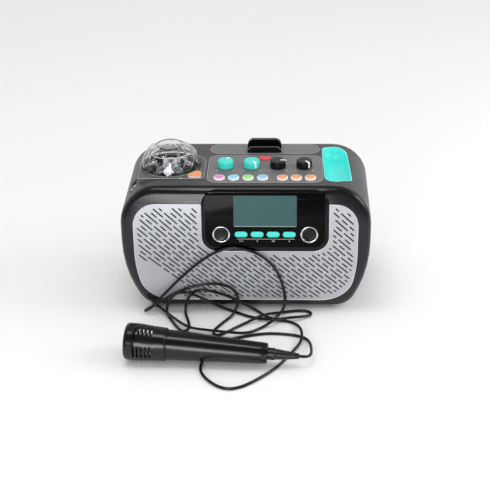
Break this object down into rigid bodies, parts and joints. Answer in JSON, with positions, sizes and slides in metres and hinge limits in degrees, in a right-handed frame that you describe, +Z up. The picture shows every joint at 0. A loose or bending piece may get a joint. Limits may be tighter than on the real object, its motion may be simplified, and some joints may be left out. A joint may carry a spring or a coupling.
{
  "type": "karaoke speaker with light dome and wired microphone",
  "caption": "Table-top karaoke speaker with a slotted grille, display pod, faceted light dome, turning knobs, sprung buttons, tablet holder and a wired hand microphone.",
  "frame": {"origin": "on the table, under the middle of the case", "axes": "+X to the right of the case seen from the front, +Y to its back, +Z up"},
  "size_m": [0.34, 0.402, 0.2217],
  "materials": {
    "deck_grey": "satin",
    "satin_black": "satin",
    "silver": "satin",
    "dark_board": "matte",
    "gloss_black": "gloss",
    "display": "gloss",
    "board_green": "satin",
    "teal": "satin",
    "chrome_trim": "polished",
    "inlay_grey": "satin",
    "pink": "satin",
    "light_blue": "satin",
    "green": "satin",
    "pale_blue": "satin",
    "orange": "satin",
    "red": "satin",
    "clear": "gloss",
    "steel": "satin",
    "rubber": "matte",
    "speaker_cone": "matte",
    "mic_black": "satin"
  },
  "bodies": {
    "case": {"rear_shell": "deck_grey", "front_bezel": "satin_black", "speaker_grille": "silver", "speaker_baffle": "dark_board", "pod_housing": "satin_black", "pod_panel": "gloss_black", "lcd_glass": "display", "display_board": "board_green", "key_rings": "chrome_trim", "control_panel": "inlay_grey", "dome_platform": "inlay_grey", "dome_lens": "clear", "light_motor": "steel", "tablet_ledge": "inlay_grey", "tablet_holder": "gloss_black", "microphone_rest": "teal", "jack_panel": "dark_board", "microphone_socket": "chrome_trim", "power_socket": "dark_board", "battery_box": "dark_board", "battery_contacts": "steel", "base_plate": "dark_board", "rubber_feet": "rubber", "left_speaker": "speaker_cone", "right_speaker": "speaker_cone", "main_board": "board_green", "control_board": "board_green", "case_screws": "steel", "mic_head": "mic_black", "mic_cap": "mic_black", "mic_capsule": "mic_black", "mic_handle": "mic_black", "mic_boot": "rubber", "mic_cord": "rubber", "cord_plug": "chrome_trim", "plug_boot": "rubber"},
    "teal_knob_left": {"teal_knob_left": "teal"},
    "teal_knob_right": {"teal_knob_right": "teal"},
    "black_knob_left": {"black_knob_left": "gloss_black"},
    "black_knob_right": {"black_knob_right": "gloss_black"},
    "pink_button": {"pink_button": "pink"},
    "blue_button": {"blue_button": "light_blue"},
    "green_button": {"green_button": "green"},
    "sky_button": {"sky_button": "pale_blue"},
    "orange_button_1": {"orange_button_1": "orange"},
    "orange_button_2": {"orange_button_2": "orange"},
    "orange_button_3": {"orange_button_3": "orange"},
    "record_button": {"record_button": "red"},
    "light_button": {"light_button": "orange"},
    "menu_button_1": {"menu_button_1": "teal"},
    "menu_button_2": {"menu_button_2": "teal"},
    "menu_button_3": {"menu_button_3": "teal"},
    "menu_button_4": {"menu_button_4": "teal"},
    "left_key": {"left_key": "gloss_black"},
    "right_key": {"right_key": "gloss_black"},
    "light_rotor": {"light_rotor": "chrome_trim"},
    "power_switch": {"power_switch": "gloss_black"},
    "battery_door": {"battery_door": "dark_board"}
  },
  "joints": [
    {"name": "teal_knob_left_turn", "type": "hinge", "parent": "case", "child": "teal_knob_left", "pos_m": [-0.0289, -0.004, 0.19], "axis": [0, 0, 1], "range_deg": [-140, 140]},
    {"name": "teal_knob_right_turn", "type": "hinge", "parent": "case", "child": "teal_knob_right", "pos_m": [0.0073, -0.004, 0.19], "axis": [0, 0, 1], "range_deg": [-140, 140]},
    {"name": "black_knob_left_turn", "type": "hinge", "parent": "case", "child": "black_knob_left", "pos_m": [0.0435, -0.004, 0.19], "axis": [0, 0, 1], "range_deg": [-140, 140]},
    {"name": "black_knob_right_turn", "type": "hinge", "parent": "case", "child": "black_knob_right", "pos_m": [0.0797, -0.004, 0.19], "axis": [0, 0, 1], "range_deg": [-140, 140]},
    {"name": "pink_button_press", "type": "slide", "parent": "case", "child": "pink_button", "axis": [0, 0, -1], "range_m": [0, 0.0014], "stiffness_N_per_m": 300, "springref_m": -0.001},
    {"name": "blue_button_press", "type": "slide", "parent": "case", "child": "blue_button", "axis": [0, 0, -1], "range_m": [0, 0.0014], "stiffness_N_per_m": 300, "springref_m": -0.001},
    {"name": "green_button_press", "type": "slide", "parent": "case", "child": "green_button", "axis": [0, 0, -1], "range_m": [0, 0.0014], "stiffness_N_per_m": 300, "springref_m": -0.001},
    {"name": "sky_button_press", "type": "slide", "parent": "case", "child": "sky_button", "axis": [0, 0, -1], "range_m": [0, 0.0014], "stiffness_N_per_m": 300, "springref_m": -0.001},
    {"name": "orange_button_1_press", "type": "slide", "parent": "case", "child": "orange_button_1", "axis": [0, 0, -1], "range_m": [0, 0.0014], "stiffness_N_per_m": 300, "springref_m": -0.001},
    {"name": "orange_button_2_press", "type": "slide", "parent": "case", "child": "orange_button_2", "axis": [0, 0, -1], "range_m": [0, 0.0014], "stiffness_N_per_m": 300, "springref_m": -0.001},
    {"name": "orange_button_3_press", "type": "slide", "parent": "case", "child": "orange_button_3", "axis": [0, 0, -1], "range_m": [0, 0.0014], "stiffness_N_per_m": 300, "springref_m": -0.001},
    {"name": "record_button_press", "type": "slide", "parent": "case", "child": "record_button", "axis": [0, 0, -1], "range_m": [0, 0.0014], "stiffness_N_per_m": 300, "springref_m": -0.001},
    {"name": "light_button_press", "type": "slide", "parent": "case", "child": "light_button", "axis": [0, 0, -1], "range_m": [0, 0.0014], "stiffness_N_per_m": 300, "springref_m": -0.001},
    {"name": "menu_button_1_press", "type": "slide", "parent": "case", "child": "menu_button_1", "axis": [0, 0.9833, -0.1822], "range_m": [0, 0.001], "stiffness_N_per_m": 300, "springref_m": -0.001},
    {"name": "menu_button_2_press", "type": "slide", "parent": "case", "child": "menu_button_2", "axis": [0, 0.9833, -0.1822], "range_m": [0, 0.001], "stiffness_N_per_m": 300, "springref_m": -0.001},
    {"name": "menu_button_3_press", "type": "slide", "parent": "case", "child": "menu_button_3", "axis": [0, 0.9833, -0.1822], "range_m": [0, 0.001], "stiffness_N_per_m": 300, "springref_m": -0.001},
    {"name": "menu_button_4_press", "type": "slide", "parent": "case", "child": "menu_button_4", "axis": [0, 0.9833, -0.1822], "range_m": [0, 0.001], "stiffness_N_per_m": 300, "springref_m": -0.001},
    {"name": "left_key_press", "type": "slide", "parent": "case", "child": "left_key", "axis": [0, 0.9833, -0.1822], "range_m": [0, 0.001], "stiffness_N_per_m": 300, "springref_m": -0.001},
    {"name": "right_key_press", "type": "slide", "parent": "case", "child": "right_key", "axis": [0, 0.9833, -0.1822], "range_m": [0, 0.001], "stiffness_N_per_m": 300, "springref_m": -0.001},
    {"name": "light_rotor_spin", "type": "hinge", "parent": "case", "child": "light_rotor", "pos_m": [-0.106, 0.0034, 0.185], "axis": [0, 0, 1], "continuous": true},
    {"name": "power_switch_slide", "type": "slide", "parent": "case", "child": "power_switch", "axis": [1, 0, 0], "range_m": [-0.0025, 0.0025]},
    {"name": "battery_door_hinge", "type": "hinge", "parent": "case", "child": "battery_door", "pos_m": [0.01, 0.0791, 0.0173], "axis": [-1, 0, 0], "range_deg": [0, 90]}
  ]
}
